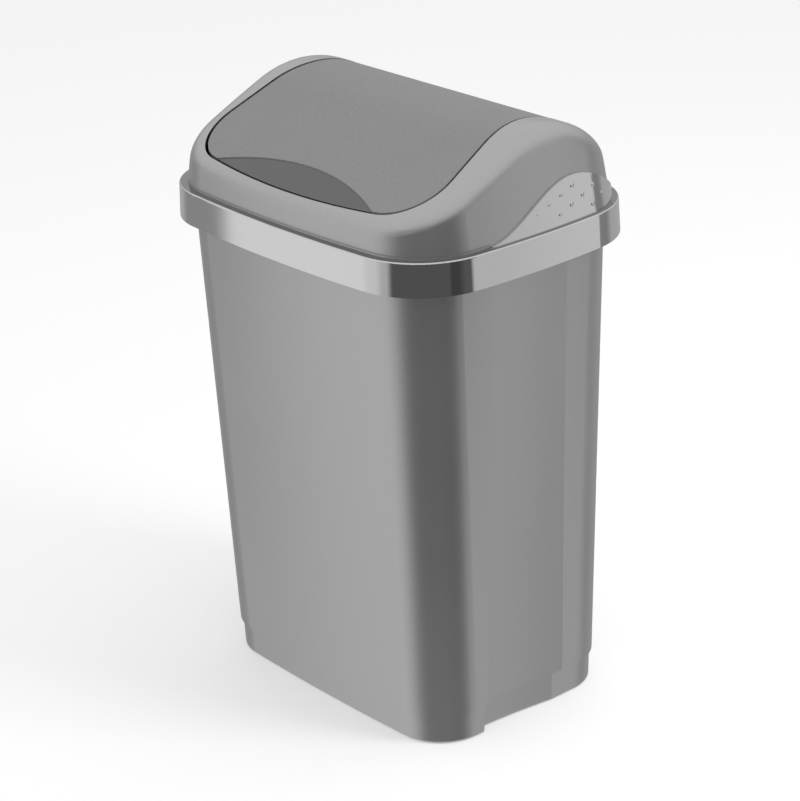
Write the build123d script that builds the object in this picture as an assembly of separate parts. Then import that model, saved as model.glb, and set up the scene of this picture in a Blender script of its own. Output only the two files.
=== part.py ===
from build123d import *
from math import asin, atan, cos, pi, radians, sin, sqrt, tan
import os

# A free-standing swing-lid bin. Millimetres, +Z up, front towards -Y,
# origin on the floor under the middle of the bin.

# Trim ring: the bright band that joins bucket and lid
ring_half_width = 174.0
ring_half_depth = 131.0
ring_side_bow = 9.6
ring_front_bow = 10.0
ring_corner_radius = 66.8
ring_bottom = 408.7
ring_height = 28.1
ring_wall = 2.2
ring_flare = 1.1
ring_ledge = 2.5
ring_edge_radius = 1.4

# Grip lobes that stand up from the ring at both sides
lobe_peak_inset = 86.0
lobe_half_length = 98.0
lobe_height = 36.0
lobe_turn_inset = 69.0
lobe_turn_radius = 62.0
lobe_back_share = 0.9
lobe_proud = 2.3
lobe_gap = 0.3
lobe_steps = 16

# Bucket
bucket_top_inset = 12.5
bucket_taper = 15.5
bucket_side_bow = 10.1
bucket_side_bow_base = 0.5
bucket_front_bow = 10.1
bucket_front_bow_base = 4.1
bucket_corner_top = 50.7
bucket_corner_base = 44.2
bucket_wall = 2.5
bucket_floor = 3.0
bucket_bottom_radius = 2.5
foot_height = 27.0
foot_step = 2.2
base_rim_width = 14.0
base_hollow = 1.4
rim_gap = 1.0
rim_thickness = 2.5
rim_drop = 9.0
rim_lip = 2.2

# Scooped panel in each side wall of the bucket
scoop_depth = 7.8
scoop_sag = 1.5
scoop_front_base = -46.0
scoop_front_top = -37.0
scoop_back_base = 46.0
scoop_back_top = 56.0
scoop_front_run = 3.0
scoop_back_rise = 0.8
scoop_top_below_ring = 4.0

# Hood: the arched frame round the flap
hood_ledge_width = 6.7
hood_wall = 2.3
hood_lean = 0.147
hood_front_rise = 17.7
hood_crown_inset = 109.0
hood_crown_z = 515.0
hood_crown_radius = 98.0
hood_back_radius = 171.0
hood_back_start = 35.0
hood_back_end = 60.0
hood_edge_radius = 18.0
hood_skirt_inset = 17.0
hood_skirt_drop = 8.5
hood_skirt_wall = 2.2
hood_lip_depth = 4.0
hood_lip_wall = 2.0
snap_reach = 1.6
snap_height = 3.2
snap_width = 18.0
snap_side_inset = 79.0
skirt_clearance = 0.3

# Flap opening, in from the ring's front, back and sides
opening_front_inset = 16.0
opening_front_corner_inset = 29.4
opening_front_side_inset = 28.0
opening_waist_side_inset = 44.9
opening_waist_behind_pivot = 1.5
opening_back_side_inset = 40.0
opening_back_corner_inset = 32.0
opening_back_inset = 28.0
opening_front_radius = 42.0
opening_back_radius = 36.0

# Flap
flap_gap = 2.4
flap_drop = 0.3
flap_thickness = 2.5
web_side_inset = 51.5
web_thickness = 2.2
web_depth = 8.0
web_half_length = 62.0
pivot_before_crown = 25.5
pivot_z = 500.0
pivot_radius = 3.5
pivot_clearance = 0.05
pivot_boss_radius = 8.0
pivot_overhang = 2.0
ear_side_inset = 43.8
ear_thickness = 3.4
ear_half_width = 9.0

# Crescent push pad at the flap's front edge
pad_arc_radius = 248.0
pad_arc_inset = 44.9
pad_recess = 0.8
pad_thickness = 0.8

# Values worked out from the sizes above
ring_top = ring_bottom + ring_height
ledge_underside = ring_top - ring_ledge
bucket_height = ledge_underside
bucket_top_half_width = ring_half_width - bucket_top_inset
bucket_top_half_depth = ring_half_depth - bucket_top_inset
lobe_peak_y = ring_half_depth - lobe_peak_inset
lobe_turn_y = ring_half_depth - lobe_turn_inset
crown_y = ring_half_depth - hood_crown_inset
crown_center_z = hood_crown_z - hood_crown_radius
pivot_y = crown_y - pivot_before_crown
web_outer_x = ring_half_width - web_side_inset
ear_inner_x = ring_half_width - ear_side_inset
snap_spread = ring_half_width - snap_side_inset
pad_arc_back_y = pad_arc_inset - ring_half_depth

# Helpers of the making, which leave no size on the bin
sink = 0.2
overcut = 1.0
overrun = 15.0
far = 60.0
upward = 0.3


def ramp_slope():
    """Angle of the front ramp: the tangent from its foot to the crown's circle."""
    run = crown_y + ring_half_depth
    rise = ring_top + hood_front_rise - crown_center_z
    return asin(hood_crown_radius / sqrt(run ** 2 + rise ** 2)) - atan(rise / run)


def bowed_outline(half_width, half_depth, side_bow, front_bow, corner, z):
    """Rounded rectangle whose four sides bow gently outwards, at height z."""
    x, y = half_width - side_bow, half_depth - front_bow
    with BuildSketch(Plane.XY.offset(z)) as sketch:
        with BuildLine():
            ThreePointArc((x, -y), (half_width, 0), (x, y))
            ThreePointArc((x, y), (0, half_depth), (-x, y))
            ThreePointArc((-x, y), (-half_width, 0), (-x, -y))
            ThreePointArc((-x, -y), (0, -half_depth), (x, -y))
        make_face()
        fillet(sketch.vertices(), corner)
    return sketch.sketch


def ring_outline(z, inset):
    """The ring's plan, drawn in by inset. Rim, skirt and hood follow it."""
    return bowed_outline(
        ring_half_width - inset,
        ring_half_depth - inset,
        ring_side_bow,
        ring_front_bow,
        ring_corner_radius - inset,
        z,
    )


def ring_prism(z_low, z_high, inset):
    return extrude(ring_outline(z_low, inset), z_high - z_low)


def bucket_half_width(z):
    return bucket_top_half_width - bucket_taper * (1 - z / ring_bottom)


def bucket_outline(z, inset):
    share = z / ring_bottom
    return bowed_outline(
        bucket_half_width(z) - inset,
        bucket_top_half_depth - bucket_taper * (1 - share) - inset,
        bucket_side_bow_base + (bucket_side_bow - bucket_side_bow_base) * share,
        bucket_front_bow_base + (bucket_front_bow - bucket_front_bow_base) * share,
        bucket_corner_base + (bucket_corner_top - bucket_corner_base) * share - inset,
        z,
    )


def bucket_block(z_low, z_high, inset):
    return loft([bucket_outline(z_low, inset), bucket_outline(z_high, inset)])


def scoop_outline(z, inset):
    """Plan of the hollow in the +X wall: a short steep front, a long shallow back."""
    share = z / ring_bottom
    front = scoop_front_base + (scoop_front_top - scoop_front_base) * share - inset
    back = scoop_back_base + (scoop_back_top - scoop_back_base) * share + inset
    wall = bucket_half_width(z)
    floor_start = (wall - scoop_depth - inset, front + scoop_front_run)
    floor_end = (wall + scoop_back_rise, back)
    middle = ((floor_start[0] + floor_end[0]) / 2 - scoop_sag, (floor_start[1] + floor_end[1]) / 2)
    with BuildSketch(Plane.XY.offset(z)) as sketch:
        with BuildLine():
            Polyline(floor_end, (wall + far, back), (wall + far, front), (wall, front), floor_start)
            ThreePointArc(floor_start, middle, floor_end)
        make_face()
    return sketch.sketch


def scoops(z_low, z_high, inset):
    right = loft([scoop_outline(z_low, inset), scoop_outline(z_high, inset)])
    return right + mirror(right, Plane.YZ)


def make_bucket():
    scoop_top = ring_bottom + scoop_top_below_ring
    foot_outer = bucket_block(0, foot_height, foot_step) - scoops(-foot_height, foot_height, foot_step)
    wall_outer = bucket_block(foot_height, bucket_height, 0) - scoops(foot_height, scoop_top, 0)
    shelf = foot_height + bucket_wall
    foot_inner = bucket_block(bucket_floor, shelf, foot_step + bucket_wall)
    foot_inner -= scoops(0, shelf, foot_step + bucket_wall)
    wall_inner = bucket_block(shelf, bucket_height, bucket_wall)
    wall_inner -= scoops(shelf, scoop_top + bucket_wall, bucket_wall)
    rim_inset = ring_wall + rim_gap
    rim = ring_prism(bucket_height - rim_drop, bucket_height, rim_inset)
    rim -= ring_prism(bucket_height - rim_drop, bucket_height - rim_thickness, rim_inset + rim_lip)
    rim -= bucket_block(bucket_height - rim_drop - overcut, bucket_height + overcut, bucket_wall / 2)
    bottom_edges = foot_outer.edges().group_by(Axis.Z)[0]
    foot_outer = fillet(bottom_edges, bucket_bottom_radius)
    underside = extrude(bucket_outline(0, foot_step + base_rim_width), base_hollow)
    underside -= scoops(-foot_height, foot_height, foot_step + base_rim_width)
    return foot_outer + wall_outer + rim - foot_inner - wall_inner - underside


def profile_prism(drop):
    """Solid below the hood's arched top, with that top lowered by drop along its normal."""
    ramp, start, end = ramp_slope(), radians(hood_back_start), radians(hood_back_end)
    crown = hood_crown_radius - drop
    back = hood_back_radius - drop
    shift = hood_back_radius - hood_crown_radius
    back_center = (crown_y - shift * sin(start), crown_center_z - shift * cos(start))

    def on_crown(angle):
        return crown_y + crown * sin(angle), crown_center_z + crown * cos(angle)

    def on_back(angle):
        return back_center[0] + back * sin(angle), back_center[1] + back * cos(angle)

    ramp_top = on_crown(-ramp)
    reach = ring_half_depth + far + ramp_top[0]
    ramp_foot = (ramp_top[0] - reach, ramp_top[1] - reach * tan(ramp))
    back_foot = on_back(end)
    low = ring_bottom - far
    with BuildSketch(Plane.YZ.offset(-ring_half_width - far)) as sketch:
        with BuildLine():
            Line(ramp_foot, ramp_top)
            ThreePointArc(ramp_top, on_crown(0), on_crown(start))
            ThreePointArc(on_crown(start), on_back((start + end) / 2), back_foot)
            Polyline(back_foot, (back_foot[0], low), (ramp_foot[0], low), ramp_foot)
        make_face()
    return extrude(sketch.sketch, 2 * (ring_half_width + far))


def hood_walls(inset, z_low, z_high):
    """The hood's leaning side walls as one tapered block."""
    low_inset = hood_ledge_width + inset + hood_lean * (z_low - ring_top)
    high_inset = hood_ledge_width + inset + hood_lean * (z_high - ring_top)
    return loft([ring_outline(z_low, low_inset), ring_outline(z_high, high_inset)])


def hood_block(inset):
    """Outer shape of the hood, drawn in by inset, open towards the floor."""
    z_low = ring_top - inset
    block = hood_walls(inset, z_low, hood_crown_z + overrun) & profile_prism(inset)
    tops = [face for face in block.faces() if face.normal_at().Z > upward]
    edges = [edge for face in tops for edge in face.edges()]
    border = [edge for edge in edges if sum(edge.is_same(other) for other in edges) == 1]
    return fillet(border, hood_edge_radius - inset)


def skin(top_drop, bottom_drop):
    """Sheet that follows the hood's arched top between two depths."""
    return profile_prism(top_drop) - profile_prism(bottom_drop)


def opening_prism(inset):
    """Upright prism with the flap opening's plan, drawn in by inset."""
    front_y = opening_front_inset - ring_half_depth
    rear_y = ring_half_depth - opening_back_inset
    corner_x = ring_half_width - opening_front_side_inset
    corner_y = opening_front_corner_inset - ring_half_depth
    waist_x = ring_half_width - opening_waist_side_inset
    waist_y = pivot_y + opening_waist_behind_pivot
    back_x = ring_half_width - opening_back_side_inset
    back_y = ring_half_depth - opening_back_corner_inset
    length = sqrt((waist_x - corner_x) ** 2 + (waist_y - corner_y) ** 2)
    along = ((waist_x - corner_x) / length, (waist_y - corner_y) / length)
    waist_x, waist_y = waist_x - inset * along[1], waist_y + inset * along[0]
    corner_y += inset
    corner_x = waist_x + (corner_y - waist_y) * along[0] / along[1]
    back_x, back_y = back_x - inset, back_y - inset
    with BuildSketch(Plane.XY.offset(ring_bottom)) as sketch:
        with BuildLine():
            ThreePointArc((-corner_x, corner_y), (0, front_y + inset), (corner_x, corner_y))
            Line((corner_x, corner_y), (waist_x, waist_y))
            TangentArc((waist_x, waist_y), (back_x, back_y), tangent=along)
            ThreePointArc((back_x, back_y), (0, rear_y - inset), (-back_x, back_y))
            TangentArc((-waist_x, waist_y), (-back_x, back_y), tangent=(-along[0], along[1]))
            Line((-waist_x, waist_y), (-corner_x, corner_y))
        make_face()
        front = [corner for corner in sketch.vertices() if corner.Y < front_y / 2]
        fillet(front, opening_front_radius - inset)
        back = [corner for corner in sketch.vertices() if corner.Y > rear_y / 2]
        fillet(back, opening_back_radius - inset)
    return extrude(sketch.sketch, hood_crown_z + far - ring_bottom)


def cross_cylinder(radius, x_low, x_high):
    """Cylinder on the flap's axis, which runs along X."""
    plane = Plane.YZ.offset(x_low)
    return extrude(plane * Pos(pivot_y, pivot_z) * Circle(radius), x_high - x_low)


def both_sides(shape):
    return shape + mirror(shape, Plane.YZ)


def lobe_point(s):
    """Side view of a grip lobe at distance s along the wall from its peak."""
    turn = lobe_turn_y - lobe_peak_y
    if s <= turn:
        y = lobe_peak_y + s
    else:
        y = lobe_turn_y + lobe_turn_radius * sin((s - turn) / lobe_turn_radius)
    return y, ring_top + lobe_height / 2 * (1 + cos(pi * s / lobe_half_length))


def make_lobe():
    """The lobe on the +X side: a cosine wave that wraps round the back corner."""
    spans = [-1 + (1 + lobe_back_share) * step / lobe_steps for step in range(lobe_steps + 1)]
    points = [lobe_point(span * lobe_half_length) for span in spans]
    low = ring_top - ring_ledge / 2
    first, last = points[0], points[-1]
    with BuildSketch(Plane.YZ) as sketch:
        with BuildLine():
            Spline(points)
            Polyline(last, (last[0], low), (first[0], low), first)
        make_face()
    side_view = extrude(sketch.sketch, ring_half_width + far)
    high = ring_top + lobe_height + overcut
    return (hood_walls(-lobe_proud, low, high) - hood_walls(-lobe_gap, low, high)) & side_view


def make_ring():
    band = loft([ring_outline(ring_bottom, -ring_flare), ring_outline(ring_top, 0)])
    band = fillet(band.edges().group_by(Axis.Z)[-1], ring_edge_radius)
    inner_low = ring_outline(ring_bottom, ring_wall - ring_flare)
    band -= loft([inner_low, ring_outline(ledge_underside, ring_wall)])
    band -= ring_prism(ledge_underside - overcut, ring_top + overcut, hood_skirt_inset - skirt_clearance)
    half_space = Box(2 * ring_half_width, 2 * (ring_half_depth + far), 2 * far)
    right_half = band & Pos(ring_half_width, 0, ring_top) * half_space
    return both_sides(right_half + make_lobe())


def snap_blocks():
    """Small hooks on the skirt that catch under the ring's ledge."""
    hooks = ring_prism(ledge_underside - snap_height, ledge_underside, hood_skirt_inset - snap_reach)
    hooks -= ring_prism(ledge_underside - snap_height, ledge_underside, hood_skirt_inset + sink)
    across = Box(snap_width, 2 * (ring_half_depth + far), 2 * hood_crown_z)
    along = Box(2 * (ring_half_width + far), snap_width, 2 * hood_crown_z)
    keep = along + Pos(snap_spread, 0, 0) * across + Pos(-snap_spread, 0, 0) * across
    return hooks & keep


def make_hood():
    shell = hood_block(0) - hood_block(hood_wall)
    foot = ring_prism(ring_top, ring_top + hood_wall, hood_ledge_width + sink)
    foot -= ring_prism(ring_top, ring_top + hood_wall, hood_skirt_inset + hood_skirt_wall)
    skirt = ring_prism(ring_top - hood_skirt_drop, ring_top + hood_wall, hood_skirt_inset)
    skirt -= ring_prism(ring_top - hood_skirt_drop, ring_top + hood_wall, hood_skirt_inset + hood_skirt_wall)
    lip = skin(hood_wall - sink, hood_wall + hood_lip_depth) & opening_prism(-hood_lip_wall)
    standing = (Align.MIN, Align.CENTER, Align.MIN)
    ear = Box(ear_thickness, 2 * ear_half_width, hood_crown_z - pivot_z, align=standing)
    ear = Pos(ear_inner_x, pivot_y, pivot_z) * ear & profile_prism(hood_wall - sink)
    ear_outer_x = ear_inner_x + ear_thickness
    ear += cross_cylinder(ear_half_width, ear_inner_x, ear_outer_x)
    ear -= cross_cylinder(pivot_radius + pivot_clearance, ear_inner_x - overcut, ear_outer_x + overcut)
    return shell + foot + skirt + snap_blocks() + lip - opening_prism(0) + both_sides(ear)


def pad_cutter():
    center_y = pad_arc_back_y - pad_arc_radius
    disc = Pos(0, center_y, ring_bottom) * Circle(pad_arc_radius)
    return extrude(disc, hood_crown_z + far - ring_bottom)


def make_flap():
    plate = skin(flap_drop, flap_drop + flap_thickness) & opening_prism(flap_gap)
    plate -= skin(0, flap_drop + pad_recess + pad_thickness) & pad_cutter()
    web_top = flap_drop + flap_thickness - sink
    inwards = (Align.MAX, Align.CENTER, Align.CENTER)
    strip = Box(web_thickness, 2 * web_half_length, 2 * hood_crown_z, align=inwards)
    web = skin(web_top, web_top + web_depth) & Pos(web_outer_x, pivot_y, 0) * strip
    boss = cross_cylinder(pivot_boss_radius, web_outer_x - web_thickness, web_outer_x)
    pin_end = ear_inner_x + ear_thickness + pivot_overhang
    pin = cross_cylinder(pivot_radius, web_outer_x - web_thickness / 2, pin_end)
    return plate + both_sides(web + (boss & profile_prism(web_top)) + pin)


def make_pad():
    top = flap_drop + pad_recess
    return skin(top, top + pad_thickness) & opening_prism(flap_gap) & pad_cutter()


pieces = {
    "bin_bucket": make_bucket(),
    "trim_ring": make_ring(),
    "lid_hood": make_hood(),
    "swing_flap": make_flap(),
    "push_pad": make_pad(),
}

os.makedirs("parts", exist_ok=True)
for name, piece in pieces.items():
    export_step(piece, "parts/" + name + ".step")
    box = piece.bounding_box()
    print(name, round(piece.volume), box.min, box.max)
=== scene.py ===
import bmesh
import bpy
import math
from mathutils import Matrix, Vector


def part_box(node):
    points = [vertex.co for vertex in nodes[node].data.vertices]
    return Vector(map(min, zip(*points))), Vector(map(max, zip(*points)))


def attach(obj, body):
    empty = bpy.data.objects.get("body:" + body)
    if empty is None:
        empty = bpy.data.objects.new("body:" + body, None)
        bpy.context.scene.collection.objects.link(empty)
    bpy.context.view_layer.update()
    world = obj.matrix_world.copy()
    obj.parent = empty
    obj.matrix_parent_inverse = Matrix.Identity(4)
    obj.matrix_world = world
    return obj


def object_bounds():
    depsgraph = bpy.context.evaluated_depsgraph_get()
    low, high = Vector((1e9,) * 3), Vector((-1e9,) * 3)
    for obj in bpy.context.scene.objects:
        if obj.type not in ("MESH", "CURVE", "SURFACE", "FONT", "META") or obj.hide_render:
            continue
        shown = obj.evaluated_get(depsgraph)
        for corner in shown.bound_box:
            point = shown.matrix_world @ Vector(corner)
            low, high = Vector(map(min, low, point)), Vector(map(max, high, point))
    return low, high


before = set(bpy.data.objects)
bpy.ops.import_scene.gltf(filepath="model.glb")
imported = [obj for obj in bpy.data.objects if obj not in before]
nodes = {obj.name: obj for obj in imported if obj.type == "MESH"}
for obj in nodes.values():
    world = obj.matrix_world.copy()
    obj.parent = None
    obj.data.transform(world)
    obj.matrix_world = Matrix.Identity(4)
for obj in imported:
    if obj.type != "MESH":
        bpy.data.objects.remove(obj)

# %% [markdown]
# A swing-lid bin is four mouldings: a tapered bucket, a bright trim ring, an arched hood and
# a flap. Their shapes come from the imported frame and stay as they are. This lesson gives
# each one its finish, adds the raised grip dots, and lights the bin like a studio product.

MM = 0.001
RING_TOP = 436.8 * MM
scene = bpy.context.scene
cad_low, cad_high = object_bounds()
ring_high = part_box("trim_ring")[1]
print("bin size in mm:", [round(side / MM, 1) for side in cad_high - cad_low])

# %% [markdown]
# Materials and repeated geometry are both trees of nodes and links. These helpers keep the
# trees short to read: each one adds one kind of node and hands back what comes out of it.


# %% Node helpers
def add_node(tree, kind, **settings):
    node = tree.nodes.new(kind)
    for name, value in settings.items():
        setattr(node, name, value)
    return node


def add_math(tree, operation, first, second=None, third=None, clamp=False):
    node = add_node(tree, "ShaderNodeMath", operation=operation, use_clamp=clamp)
    for socket, value in zip(node.inputs, (first, second, third)):
        if value is None:
            continue
        if isinstance(value, (int, float)):
            socket.default_value = value
        else:
            tree.links.new(value, socket)
    return node.outputs[0]


def scale_vector(tree, vector, factor):
    node = add_node(tree, "ShaderNodeVectorMath", operation="SCALE")
    tree.links.new(vector, node.inputs[0])
    tree.links.new(factor, node.inputs["Scale"])
    return node.outputs[0]


def seen_directly(tree):
    """1 for a ray from the camera, from a reflection, or through something clear."""
    kind = add_node(tree, "ShaderNodeLightPath")
    seen = add_math(tree, "ADD", kind.outputs["Is Camera Ray"], kind.outputs["Is Glossy Ray"])
    return add_math(tree, "ADD", seen, kind.outputs["Is Transmission Ray"], clamp=True)


# %% [markdown]
# Every finish here is moulded or metallised plastic. Two things are common to them all: a
# fine grain that breaks up the reflection, and a slow drift of tone where the melt flowed.
# One shader group makes both, so each finish only chooses how coarse and how strong.

# %% Moulded grain group
GRAIN_DETAIL = 2.0
DRIFT_SCALE = 7.0
DRIFT_DETAIL = 3.0


def make_grain_group():
    group = bpy.data.node_groups.new("moulded_grain", "ShaderNodeTree")
    add = group.interface.new_socket
    add("Color", in_out="INPUT", socket_type="NodeSocketColor")
    for name, value in (("Grain size", 0.5 * MM), ("Grain height", 0.0), ("Speckle", 0.1), ("Drift", 0.05),
                        ("Roughness", 0.4), ("Roughness drift", 0.05)):
        add(name, in_out="INPUT", socket_type="NodeSocketFloat").default_value = value
    add("Color", in_out="OUTPUT", socket_type="NodeSocketColor")
    add("Roughness", in_out="OUTPUT", socket_type="NodeSocketFloat")
    add("Normal", in_out="OUTPUT", socket_type="NodeSocketVector")
    start = add_node(group, "NodeGroupInput")
    end = add_node(group, "NodeGroupOutput")
    place = add_node(group, "ShaderNodeTexCoord")
    fine_scale = add_math(group, "DIVIDE", 1.0, start.outputs["Grain size"])
    fine = add_node(group, "ShaderNodeTexNoise")
    fine.inputs["Detail"].default_value = GRAIN_DETAIL
    slow = add_node(group, "ShaderNodeTexNoise")
    slow.inputs["Scale"].default_value = DRIFT_SCALE
    slow.inputs["Detail"].default_value = DRIFT_DETAIL
    link = group.links.new
    link(place.outputs["Object"], fine.inputs["Vector"])
    link(place.outputs["Object"], slow.inputs["Vector"])
    link(fine_scale, fine.inputs["Scale"])
    slow_part = add_math(group, "SUBTRACT", slow.outputs["Fac"], 0.5)
    fine_part = add_math(group, "SUBTRACT", fine.outputs["Fac"], 0.5)
    tone = add_math(group, "MULTIPLY_ADD", slow_part, start.outputs["Drift"], 1.0)
    tone = add_math(group, "MULTIPLY_ADD", fine_part, start.outputs["Speckle"], tone)
    link(scale_vector(group, start.outputs["Color"], tone), end.inputs["Color"])
    rough = add_math(group, "MULTIPLY_ADD", slow_part, start.outputs["Roughness drift"],
                     start.outputs["Roughness"], clamp=True)
    link(rough, end.inputs["Roughness"])
    bump = add_node(group, "ShaderNodeBump")
    link(fine.outputs["Fac"], bump.inputs["Height"])
    link(start.outputs["Grain height"], bump.inputs["Distance"])
    link(bump.outputs["Normal"], end.inputs["Normal"])
    return group


grain_group = make_grain_group()
print("shared group:", grain_group.name)

# %% [markdown]
# Shade falls where a flat ledge meets a wall, here on the shelf of the ring round the hood's
# foot. A second group paints that shade into the colour: it masks faces that look straight up
# in a thin layer of height, measured on the object, and darkens the colour there.

# %% Painted ledge shade group
LEDGE_LAYER = 0.6 * MM
LEDGE_SHADE = 0.3
UPWARD_START = 0.9
UPWARD_FULL = 0.98


def make_ledge_group():
    group = bpy.data.node_groups.new("painted_ledge_shade", "ShaderNodeTree")
    add = group.interface.new_socket
    add("Color", in_out="INPUT", socket_type="NodeSocketColor")
    for name, value in (("Level", RING_TOP), ("Layer", LEDGE_LAYER), ("Shade", LEDGE_SHADE)):
        add(name, in_out="INPUT", socket_type="NodeSocketFloat").default_value = value
    add("Color", in_out="OUTPUT", socket_type="NodeSocketColor")
    start = add_node(group, "NodeGroupInput")
    end = add_node(group, "NodeGroupOutput")
    link = group.links.new
    place = add_node(group, "ShaderNodeTexCoord")
    place_parts = add_node(group, "ShaderNodeSeparateXYZ")
    link(place.outputs["Object"], place_parts.inputs[0])
    above = add_math(group, "SUBTRACT", place_parts.outputs["Z"], start.outputs["Level"])
    near = add_math(group, "LESS_THAN", add_math(group, "ABSOLUTE", above), start.outputs["Layer"])
    face = add_node(group, "ShaderNodeSeparateXYZ")
    link(place.outputs["Normal"], face.inputs[0])
    flat = add_node(group, "ShaderNodeMapRange")
    link(face.outputs["Z"], flat.inputs["Value"])
    flat.inputs["From Min"].default_value = UPWARD_START
    flat.inputs["From Max"].default_value = UPWARD_FULL
    # painted shade: upward faces at the ledge height get a darker colour where shade falls between ring and
    # hood
    mask = add_math(group, "MULTIPLY", near, flat.outputs[0])
    loss = add_math(group, "SUBTRACT", start.outputs["Shade"], 1.0)
    tone = add_math(group, "MULTIPLY_ADD", mask, loss, 1.0)
    link(scale_vector(group, start.outputs["Color"], tone), end.inputs["Color"])
    return group


ledge_group = make_ledge_group()
print("shared group:", ledge_group.name)


# %% Material maker
def make_finish(name, color, metallic, **grain):
    """One plastic finish. The grain's values are named as on the shared group."""
    material = bpy.data.materials.new(name)
    material.use_nodes = True
    tree = material.node_tree
    shader = tree.nodes["Principled BSDF"]
    surface = add_node(tree, "ShaderNodeGroup", node_tree=grain_group)
    surface.inputs["Color"].default_value = (color, color, color, 1.0)
    for socket, value in grain.items():
        surface.inputs[socket.replace("_", " ").capitalize()].default_value = value
    # every finish passes through the painted ledge shade
    ledge = add_node(tree, "ShaderNodeGroup", node_tree=ledge_group)
    tree.links.new(surface.outputs["Color"], ledge.inputs["Color"])
    tree.links.new(ledge.outputs["Color"], shader.inputs["Base Color"])
    tree.links.new(surface.outputs["Roughness"], shader.inputs["Roughness"])
    tree.links.new(surface.outputs["Normal"], shader.inputs["Normal"])
    shader.inputs["Metallic"].default_value = metallic
    return material


# %% [markdown]
# The bucket and hood are plastic with metal flakes in it, so they answer to light like
# brushed steel seen through a haze: mostly metallic, with a wide highlight. The flap is
# darker, with an eroded, sandy texture. The ring is metallised and nearly a mirror, and the
# push pad is polished, with a dark grey that is partly its own colour and partly painted
# shade for the steeper tilt of the real pad.

# %% Finishes
bucket_finish = make_finish(
    "satin_flake_grey", 0.57, 0.97,
    grain_size=1.2 * MM, grain_height=0.02 * MM, speckle=0.12, drift=0.06,
    roughness=0.39, roughness_drift=0.06)
hood_finish = make_finish(
    "satin_hood_grey", 0.55, 0.96,
    grain_size=1.2 * MM, grain_height=0.03 * MM, speckle=0.16, drift=0.06,
    roughness=0.39, roughness_drift=0.06)
flap_finish = make_finish(
    "sandy_flap_grey", 0.34, 0.6,
    grain_size=1.6 * MM, grain_height=0.15 * MM, speckle=0.35, drift=0.16,
    roughness=0.5, roughness_drift=0.1)
ring_finish = make_finish(
    "metallised_silver", 0.72, 1.0,
    grain_size=3.0 * MM, grain_height=0.001 * MM, speckle=0.02, drift=0.05,
    roughness=0.08, roughness_drift=0.05)
# the pad's dark grey is partly its own colour and partly painted shade for the real pad's steeper tilt
pad_finish = make_finish(
    "polished_pad_grey_and_painted_shade", 0.17, 0.8,
    grain_size=2.5 * MM, grain_height=0.003 * MM, speckle=0.12, drift=0.08,
    roughness=0.25, roughness_drift=0.05)

# %% Dress the five mouldings
finishes = {
    "bin_bucket": bucket_finish,
    "lid_hood": hood_finish,
    "swing_flap": flap_finish,
    "trim_ring": ring_finish,
    "push_pad": pad_finish,
}
for node_name, finish in finishes.items():
    mesh = nodes[node_name].data
    mesh.materials.clear()
    mesh.materials.append(finish)
    print(node_name, "has", finish.name, "and", len(mesh.polygons), "faces")

# %% [markdown]
# Each grip lobe carries a slanting pattern of low round dots that fade out towards the
# front. A pattern like this follows a rule, so Geometry Nodes lay it out: a sheared grid,
# thrown sideways on to the lobe, keeps the points that lie inside the lobe's outline.

# %% Dot sizes
LOBE_PEAK_Y = 45.0 * MM
LOBE_HALF_LENGTH = 98.0 * MM
LOBE_HEIGHT = 36.0 * MM
DOT_STEP_DOWN = Vector((0.0, 10.6, -10.0)) * MM
DOT_STEP_FORWARD = Vector((0.0, -13.6, -4.5)) * MM
DOT_ORIGIN = Vector((0.0, 43.4, 464.6)) * MM
DOT_ROWS = 8.0
DOT_COLUMNS = 12.0
DOT_RADIUS = 2.1 * MM
DOT_RISE = 0.6 * MM
DOT_EDGE = 5.0 * MM
DOT_SMALLEST = 0.25
DOT_SEGMENTS = 14
DOT_RINGS = 8
FADE_START_Y = -15.0 * MM
FADE_END_Y = 40.0 * MM
CAST_STAND_OFF = 10.0 * MM
CAST_LENGTH = 60.0 * MM


# %% Geometry node helpers
def new_geometry_tree(name, floats):
    tree = bpy.data.node_groups.new(name, "GeometryNodeTree")
    add = tree.interface.new_socket
    add("Geometry", in_out="INPUT", socket_type="NodeSocketGeometry")
    add("Carrier", in_out="INPUT", socket_type="NodeSocketObject")
    add("Finish", in_out="INPUT", socket_type="NodeSocketMaterial")
    for socket_name, value in floats:
        add(socket_name, in_out="INPUT", socket_type="NodeSocketFloat").default_value = value
    add("Geometry", in_out="OUTPUT", socket_type="NodeSocketGeometry")
    return tree


def combine(tree, *parts):
    node = add_node(tree, "ShaderNodeCombineXYZ")
    for socket, part in zip(node.inputs, parts):
        tree.links.new(part, socket)
    return node.outputs[0]


def dome_nodes(tree, radius, rise):
    """A low round dot: a sphere flattened to the asked rise, with its lower half sunk."""
    ball = add_node(tree, "GeometryNodeMeshUVSphere")
    ball.inputs["Segments"].default_value = DOT_SEGMENTS
    ball.inputs["Rings"].default_value = DOT_RINGS
    ball.inputs["Radius"].default_value = 1.0
    squash = add_node(tree, "GeometryNodeTransform")
    tree.links.new(ball.outputs["Mesh"], squash.inputs["Geometry"])
    tree.links.new(combine(tree, radius, radius, rise), squash.inputs["Scale"])
    smooth = add_node(tree, "GeometryNodeSetShadeSmooth")
    tree.links.new(squash.outputs["Geometry"], smooth.inputs["Geometry"])
    return smooth.outputs[0]


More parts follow.
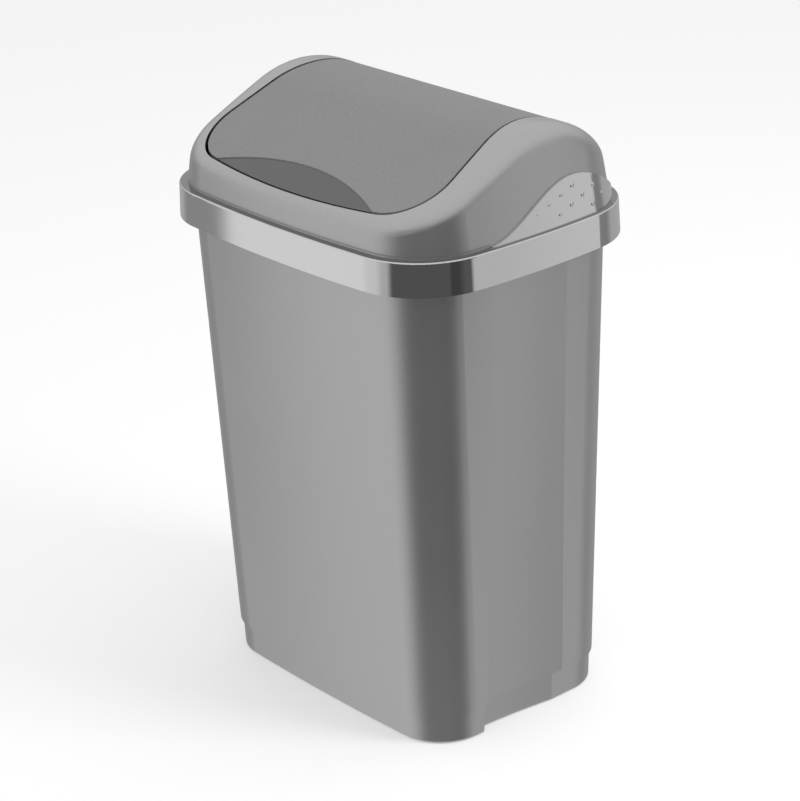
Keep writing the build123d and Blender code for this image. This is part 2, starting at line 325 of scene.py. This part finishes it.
# %% Dots on a carrier
def make_dot_tree():
    """Rows and columns of points, cast on to the carrier, with a dome on each that hits."""
    tree = new_geometry_tree("cast_dots", (
        ("Origin X", 0.0), ("Origin Y", 0.0), ("Origin Z", 0.0),
        ("Row X", 0.0), ("Row Y", 0.0), ("Row Z", 0.0),
        ("Column X", 0.0), ("Column Y", 0.0), ("Column Z", 0.0),
        ("Aim X", -1.0), ("Aim Y", 0.0), ("Aim Z", 0.0),
        ("Rows", 6.0), ("Columns", 8.0), ("Radius", 1.5 * MM), ("Rise", 0.5 * MM),
        ("Wave height", 0.0), ("Wave peak", 0.0), ("Wave length", 1.0), ("Wave foot", 0.0),
        ("Edge", 4.0 * MM), ("Fade start", 0.0), ("Fade end", 1.0), ("Smallest", 0.3)))
    start = add_node(tree, "NodeGroupInput")
    end = add_node(tree, "NodeGroupOutput")
    link = tree.links.new
    value = start.outputs

    def vector_of(prefix):
        return combine(tree, *(value[prefix + " " + axis] for axis in "XYZ"))

    count = add_math(tree, "MULTIPLY", value["Rows"], value["Columns"])
    line = add_node(tree, "GeometryNodeMeshLine")
    link(count, line.inputs["Count"])
    index = add_node(tree, "GeometryNodeInputIndex").outputs[0]
    row = add_math(tree, "FLOOR", add_math(tree, "DIVIDE", index, value["Columns"]))
    column = add_math(tree, "SUBTRACT", index, add_math(tree, "MULTIPLY", row, value["Columns"]))
    row_place = add_math(tree, "SUBTRACT", row, add_math(tree, "MULTIPLY", value["Rows"], 0.5))
    column_place = add_math(tree, "SUBTRACT", column, add_math(tree, "MULTIPLY", value["Columns"], 0.5))
    row_place = add_math(tree, "ROUND", row_place)
    column_place = add_math(tree, "ROUND", column_place)

    def added(first, second):
        node = add_node(tree, "ShaderNodeVectorMath", operation="ADD")
        link(first, node.inputs[0])
        link(second, node.inputs[1])
        return node.outputs[0]

    offset = added(
        scale_vector(tree, vector_of("Row"), row_place), scale_vector(tree, vector_of("Column"), column_place))
    place = added(vector_of("Origin"), offset)
    seat = add_node(tree, "GeometryNodeSetPosition")
    link(line.outputs["Mesh"], seat.inputs["Geometry"])
    link(place, seat.inputs["Position"])
    carrier = add_node(tree, "GeometryNodeObjectInfo")
    link(value["Carrier"], carrier.inputs["Object"])
    cast = add_node(tree, "GeometryNodeRaycast", data_type="FLOAT")
    link(carrier.outputs["Geometry"], cast.inputs["Target Geometry"])
    link(vector_of("Aim"), cast.inputs["Ray Direction"])
    cast.inputs["Ray Length"].default_value = CAST_LENGTH
    here = add_node(tree, "GeometryNodeInputPosition").outputs[0]
    parts = add_node(tree, "ShaderNodeSeparateXYZ")
    link(here, parts.inputs[0])
    along = add_math(tree, "SUBTRACT", parts.outputs["Y"], value["Wave peak"])
    turn = add_math(tree, "MULTIPLY", add_math(tree, "DIVIDE", along, value["Wave length"]), math.pi)
    wave = add_math(tree, "ADD", add_math(tree, "COSINE", turn), 1.0)
    top = add_math(tree, "MULTIPLY", wave, add_math(tree, "MULTIPLY", value["Wave height"], 0.5))
    top = add_math(tree, "ADD", top, value["Wave foot"])
    below = add_math(tree, "LESS_THAN", add_math(tree, "ADD", parts.outputs["Z"], value["Edge"]), top)
    above = add_math(tree, "SUBTRACT", parts.outputs["Z"], value["Edge"])
    above = add_math(tree, "GREATER_THAN", above, value["Wave foot"])
    inside = add_math(tree, "MULTIPLY", below, above)
    keep = add_math(tree, "MULTIPLY", inside, cast.outputs["Is Hit"])
    drop = add_math(tree, "LESS_THAN", keep, 0.5)
    trim = add_node(tree, "GeometryNodeDeleteGeometry", domain="POINT")
    link(seat.outputs[0], trim.inputs["Geometry"])
    link(drop, trim.inputs["Selection"])
    land = add_node(tree, "GeometryNodeSetPosition")
    link(cast.outputs["Hit Position"], land.inputs["Position"])
    fade = add_node(tree, "ShaderNodeMapRange")
    link(parts.outputs["Y"], fade.inputs["Value"])
    link(value["Fade start"], fade.inputs["From Min"])
    link(value["Fade end"], fade.inputs["From Max"])
    link(value["Smallest"], fade.inputs["To Min"])
    fade.inputs["To Max"].default_value = 1.0
    turn_out = add_node(tree, "FunctionNodeAlignRotationToVector", axis="Z")
    link(cast.outputs["Hit Normal"], turn_out.inputs["Vector"])
    keep_turn = add_node(tree, "GeometryNodeStoreNamedAttribute", data_type="QUATERNION", domain="POINT")
    keep_turn.inputs["Name"].default_value = "outward"
    link(trim.outputs[0], keep_turn.inputs["Geometry"])
    link(turn_out.outputs[0], keep_turn.inputs["Value"])
    link(keep_turn.outputs[0], land.inputs["Geometry"])
    outward = add_node(tree, "GeometryNodeInputNamedAttribute", data_type="QUATERNION")
    outward.inputs["Name"].default_value = "outward"
    scatter = add_node(tree, "GeometryNodeInstanceOnPoints")
    link(land.outputs[0], scatter.inputs["Points"])
    link(dome_nodes(tree, value["Radius"], value["Rise"]), scatter.inputs["Instance"])
    link(outward.outputs[0], scatter.inputs["Rotation"])
    link(combine(tree, fade.outputs[0], fade.outputs[0], fade.outputs[0]), scatter.inputs["Scale"])
    real = add_node(tree, "GeometryNodeRealizeInstances")
    link(scatter.outputs[0], real.inputs["Geometry"])
    dress = add_node(tree, "GeometryNodeSetMaterial")
    link(real.outputs[0], dress.inputs["Geometry"])
    link(value["Finish"], dress.inputs["Material"])
    link(dress.outputs[0], end.inputs["Geometry"])
    return tree


dot_tree = make_dot_tree()
print("dot tree has", len(dot_tree.nodes), "nodes")

# %% [markdown]
# A tree only makes its dots while a modifier runs it. So each lobe's dots are grown on an
# empty mesh that is then thrown away, and what came out is kept as a piece of the lid.


# %% Run a tree and keep the result as a plain mesh
def grow(name, tree, body, slot_name, finish, **settings):
    holder = bpy.data.objects.new(name + "_maker", bpy.data.meshes.new(name + "_maker"))
    scene.collection.objects.link(holder)
    modifier = holder.modifiers.new("maker", "NODES")
    modifier.node_group = tree
    ids = {item.name: item.identifier for item in tree.interface.items_tree if item.in_out == "INPUT"}
    modifier[ids["Finish"]] = finish
    for socket_name, setting in settings.items():
        modifier[ids[socket_name.replace("_", " ")]] = setting
    bpy.context.view_layer.update()
    graph = bpy.context.evaluated_depsgraph_get()
    mesh = bpy.data.meshes.new_from_object(holder.evaluated_get(graph))
    bpy.data.objects.remove(holder)
    piece = bpy.data.objects.new(name, mesh)
    scene.collection.objects.link(piece)
    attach(piece, body)
    print(name, "has", len(mesh.polygons), "faces")


# %% Dots on both grip lobes
for dots_name, side in (("grip_dots_left", -1.0), ("grip_dots_right", 1.0)):
    grow(
        dots_name, dot_tree, "lid", "ring_bright", ring_finish,
        Carrier=nodes["trim_ring"],
        Origin_X=side * (ring_high.x + CAST_STAND_OFF), Origin_Y=DOT_ORIGIN.y, Origin_Z=DOT_ORIGIN.z,
        Row_Y=DOT_STEP_DOWN.y, Row_Z=DOT_STEP_DOWN.z,
        Column_Y=DOT_STEP_FORWARD.y, Column_Z=DOT_STEP_FORWARD.z,
        Aim_X=-side, Rows=DOT_ROWS, Columns=DOT_COLUMNS, Radius=DOT_RADIUS, Rise=DOT_RISE,
        Wave_height=LOBE_HEIGHT, Wave_peak=LOBE_PEAK_Y, Wave_length=LOBE_HALF_LENGTH,
        Wave_foot=RING_TOP, Edge=DOT_EDGE,
        Fade_start=FADE_START_Y, Fade_end=FADE_END_Y, Smallest=DOT_SMALLEST)

# %% [markdown]
# The photograph's shading tells how the bin was lit: a long bright sheet to the left of the
# camera, a weaker one far round to the right, and dark cloth behind the camera, which
# leaves the dark stripe down the front corner. Those sheets stand far round the bin as a
# cove that only reflections see. The world behind it is nearly white to the eye and to
# metal, and a little dimmer as light on the bin.

# %% World
BACKGROUND = 0.94
SKY_LIGHT = 0.75


def make_world():
    world = bpy.data.worlds.new("studio")
    world.use_nodes = True
    scene.world = world
    tree = world.node_tree
    tree.nodes.clear()
    mix = add_node(tree, "ShaderNodeMixShader")
    tree.links.new(seen_directly(tree), mix.inputs["Fac"])
    for socket, level in ((mix.inputs[1], SKY_LIGHT), (mix.inputs[2], BACKGROUND)):
        shade = add_node(tree, "ShaderNodeBackground")
        shade.inputs["Strength"].default_value = level
        tree.links.new(shade.outputs[0], socket)
    end = add_node(tree, "ShaderNodeOutputWorld")
    tree.links.new(mix.outputs[0], end.inputs["Surface"])


make_world()
print("background", BACKGROUND, "and sky light", SKY_LIGHT)

# %% [markdown]
# The cove is one tall cylinder far outside the scene, so what a wall reflects depends on
# where it faces and hardly on where it stands. Each row of the list below gives where a
# sheet starts, in degrees round from the front, how soft that edge is to either side, and
# how bright the sheet is.

# %% Cove of light and dark sheets, seen only by reflections
SHEET_EDGES = (
    (-180.0, 0.0, 0.45), (-85.0, 10.0, 0.30), (-57.5, 1.5, 0.82), (-36.0, 8.0, 0.70), (-14.0, 8.0, 0.50),
    (1.0, 5.0, 0.10), (82.0, 1.5, 0.06), (98.0, 6.0, 0.11), (113.0, 1.5, 0.58), (132.0, 10.0, 0.66),
    (146.0, 1.5, 0.25), (165.0, 8.0, 0.45))
COVE_RADIUS = 12.0
COVE_LOW = -12.0
COVE_HIGH = 3.5
COVE_SIDES = 96


def make_cove():
    mesh = bpy.data.meshes.new("cove")
    build = bmesh.new()
    bmesh.ops.create_cone(build, segments=COVE_SIDES, radius1=COVE_RADIUS, radius2=COVE_RADIUS,
                          depth=COVE_HIGH - COVE_LOW, cap_ends=False)
    bmesh.ops.translate(build, verts=build.verts, vec=(0.0, 0.0, (COVE_HIGH + COVE_LOW) / 2))
    build.to_mesh(mesh)
    build.free()
    cove = bpy.data.objects.new("cove", mesh)
    scene.collection.objects.link(cove)
    cove.visible_camera = False
    cove.visible_diffuse = False
    cove.visible_shadow = False
    cove.visible_transmission = False
    mesh.materials.append(make_sheets())


def make_sheets():
    """A glow that steps from one sheet's brightness to the next round the compass."""
    material = bpy.data.materials.new("cove_sheets")
    material.use_nodes = True
    tree = material.node_tree
    tree.nodes.clear()
    link = tree.links.new
    where = add_node(tree, "ShaderNodeTexCoord")
    parts = add_node(tree, "ShaderNodeSeparateXYZ")
    link(where.outputs["Object"], parts.inputs[0])
    backwards = add_math(tree, "MULTIPLY", parts.outputs["Y"], -1.0)
    azimuth = add_math(tree, "ARCTAN2", parts.outputs["X"], backwards)
    azimuth = add_math(tree, "MULTIPLY", azimuth, 180.0 / math.pi)
    level = SHEET_EDGES[0][2]
    for (edge, softness, strength), (_, _, before) in zip(SHEET_EDGES[1:], SHEET_EDGES):
        step = add_node(tree, "ShaderNodeMapRange", interpolation_type="SMOOTHSTEP")
        link(azimuth, step.inputs["Value"])
        step.inputs["From Min"].default_value = edge - softness
        step.inputs["From Max"].default_value = edge + softness
        step.inputs["To Min"].default_value = 0.0
        step.inputs["To Max"].default_value = strength - before
        level = add_math(tree, "ADD", step.outputs[0], level)
    glow = add_node(tree, "ShaderNodeEmission")
    link(level, glow.inputs["Strength"])
    end = add_node(tree, "ShaderNodeOutputMaterial")
    link(glow.outputs[0], end.inputs["Surface"])
    return material


make_cove()
print("cove stands", COVE_RADIUS, "m round the bin")

# %% [markdown]
# The floor is a plain pale sheet that catches the bin's soft shadow. A little glow, which
# only direct sight and reflections get, lifts it towards the white of the background.

# %% Floor
FLOOR_HALF = 6.0
FLOOR_GREY = 0.93
FLOOR_ROUGHNESS = 0.9
FLOOR_GLOW = 0.30


def make_floor():
    mesh = bpy.data.meshes.new("floor")
    corners = ((-1, -1), (1, -1), (1, 1), (-1, 1))
    mesh.from_pydata([(x * FLOOR_HALF, y * FLOOR_HALF, 0) for x, y in corners], [], [(0, 1, 2, 3)])
    floor = bpy.data.objects.new("floor", mesh)
    scene.collection.objects.link(floor)
    material = bpy.data.materials.new("pale_floor")
    material.use_nodes = True
    tree = material.node_tree
    shader = tree.nodes["Principled BSDF"]
    shader.inputs["Base Color"].default_value = (FLOOR_GREY, FLOOR_GREY, FLOOR_GREY, 1.0)
    shader.inputs["Roughness"].default_value = FLOOR_ROUGHNESS
    shader.inputs["Specular IOR Level"].default_value = 0.0
    shader.inputs["Emission Color"].default_value = (1.0, 1.0, 1.0, 1.0)
    glow = add_math(tree, "MULTIPLY", seen_directly(tree), FLOOR_GLOW)
    tree.links.new(glow, shader.inputs["Emission Strength"])
    mesh.materials.append(material)
    floor.visible_glossy = False


make_floor()
print("floor is", 2 * FLOOR_HALF, "m wide")

# %% [markdown]
# Two weak area lamps add direct light, a small one from the right and a wide one overhead.
# Reflections don't see them, so neither leaves a mirror image in the bright ring.

# %% Lamps
RIGHT_PANEL_PLACE = (1.1, 0.5, 1.1)
RIGHT_PANEL_SIZE = 0.5
RIGHT_PANEL_POWER = 6.0
OVERHEAD_PANEL_PLACE = (0.2, 0.2, 2.6)
OVERHEAD_PANEL_SIZE = 2.0
OVERHEAD_PANEL_POWER = 8.0


def make_panel(name, place, target, size, power):
    """A square area lamp at a place, turned to face its target."""
    lamp = bpy.data.lights.new(name, "AREA")
    lamp.shape = "SQUARE"
    lamp.size = size
    lamp.energy = power
    panel = bpy.data.objects.new(name, lamp)
    direction = Vector(target) - Vector(place)
    panel.location = place
    panel.rotation_euler = direction.to_track_quat("-Z", "Y").to_euler()
    panel.visible_glossy = False
    scene.collection.objects.link(panel)
    print(name, "gives", power, "W")


middle = (cad_low + cad_high) / 2
make_panel("right_panel", RIGHT_PANEL_PLACE, cad_high, RIGHT_PANEL_SIZE, RIGHT_PANEL_POWER)
make_panel("overhead_panel", OVERHEAD_PANEL_PLACE, middle, OVERHEAD_PANEL_SIZE, OVERHEAD_PANEL_POWER)

# %% [markdown]
# The camera stands where the photograph was taken from: to the right of the front, looking
# down on the bin, with a long lens and a slight tilt of the frame. The numbers come from
# fitting the bin's edges in the photograph.

# %% Camera
CAMERA_AZIMUTH = math.radians(50.14)
CAMERA_ELEVATION = math.radians(23.12)
CAMERA_ROLL = math.radians(-2.41)
CAMERA_DISTANCE = 2257.8 * MM
AIM_HEIGHT = 245.6 * MM
AIM_SIDE = -3.3 * MM
FOCAL_PIXELS = 2656.1
FRAME_PIXELS = 801.0
SENSOR = 36.0


def make_camera():
    back = Vector((
        math.sin(CAMERA_AZIMUTH) * math.cos(CAMERA_ELEVATION),
        -math.cos(CAMERA_AZIMUTH) * math.cos(CAMERA_ELEVATION),
        math.sin(CAMERA_ELEVATION)))
    right = Vector((math.cos(CAMERA_AZIMUTH), math.sin(CAMERA_AZIMUTH), 0.0))
    up = back.cross(right)
    across = right * math.cos(CAMERA_ROLL) + up * math.sin(CAMERA_ROLL)
    upright = up * math.cos(CAMERA_ROLL) - right * math.sin(CAMERA_ROLL)
    spot = right * AIM_SIDE + Vector((0.0, 0.0, AIM_HEIGHT)) + back * CAMERA_DISTANCE
    data = bpy.data.cameras.new("photo_camera")
    data.sensor_width = SENSOR
    data.lens = FOCAL_PIXELS / FRAME_PIXELS * SENSOR
    camera = bpy.data.objects.new("photo_camera", data)
    turn = Matrix((across, upright, back)).transposed().to_4x4()
    camera.matrix_world = Matrix.Translation(spot) @ turn
    scene.collection.objects.link(camera)
    scene.camera = camera
    print("lens", round(data.lens, 1), "mm")


make_camera()
scene.view_settings.view_transform = "Standard"
